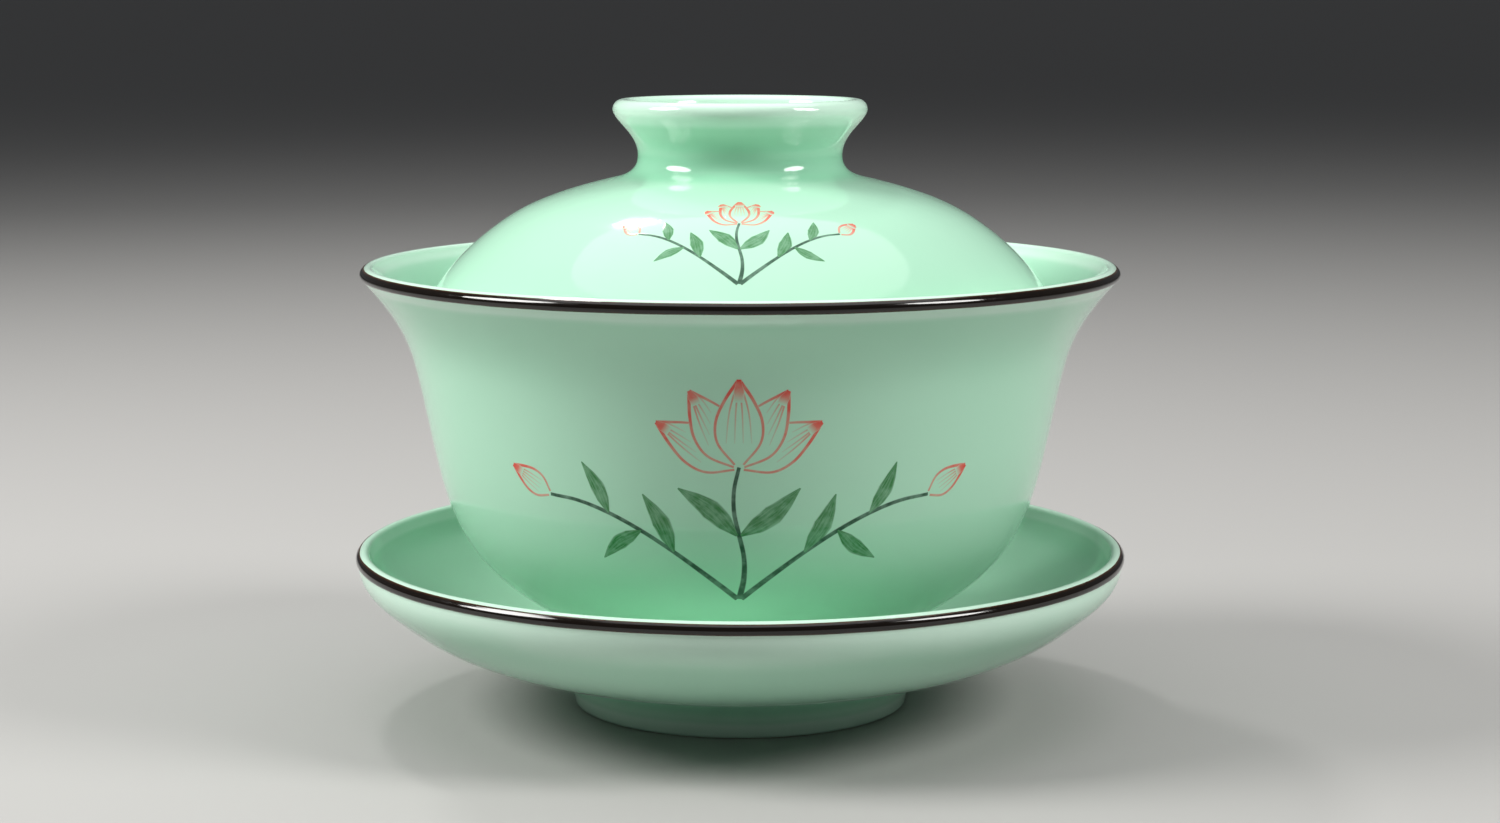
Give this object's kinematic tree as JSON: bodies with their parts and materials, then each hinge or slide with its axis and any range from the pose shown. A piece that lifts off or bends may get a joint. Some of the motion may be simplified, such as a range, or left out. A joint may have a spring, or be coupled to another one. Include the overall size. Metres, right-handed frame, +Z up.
{
  "type": "lidded tea bowl set",
  "caption": "Gaiwan: flared tea bowl with a domed lid and ring knob, standing in the well of a footed saucer.",
  "frame": {"origin": "on the axis of the set, in the plane that the saucer's foot ring rests on", "axes": "+Z is up along the common axis of saucer, bowl and lid; the painted front of the bowl faces -Y"},
  "size_m": [0.1024, 0.1024, 0.0804],
  "materials": {
    "celadon_glaze": "glossy pale blue-green celadon glaze over white porcelain",
    "iron_brown_glaze": "glossy near-black iron-brown rim glaze"
  },
  "bodies": {
    "saucer": {"saucer": "celadon_glaze", "saucer_rim_band": "iron_brown_glaze"},
    "bowl": {"bowl": "celadon_glaze", "bowl_rim_band": "iron_brown_glaze"},
    "lid": {"lid_dome": "celadon_glaze", "lid_knob": "celadon_glaze", "lid_rim_band": "iron_brown_glaze"}
  },
  "joints": [
    {"name": "bowl_lift", "type": "slide", "parent": "saucer", "child": "bowl", "axis": [0, 0, 1], "range_m": [0, 0.06]},
    {"name": "lid_lift", "type": "slide", "parent": "bowl", "child": "lid", "axis": [0, 0, 1], "range_m": [0, 0.06]}
  ]
}
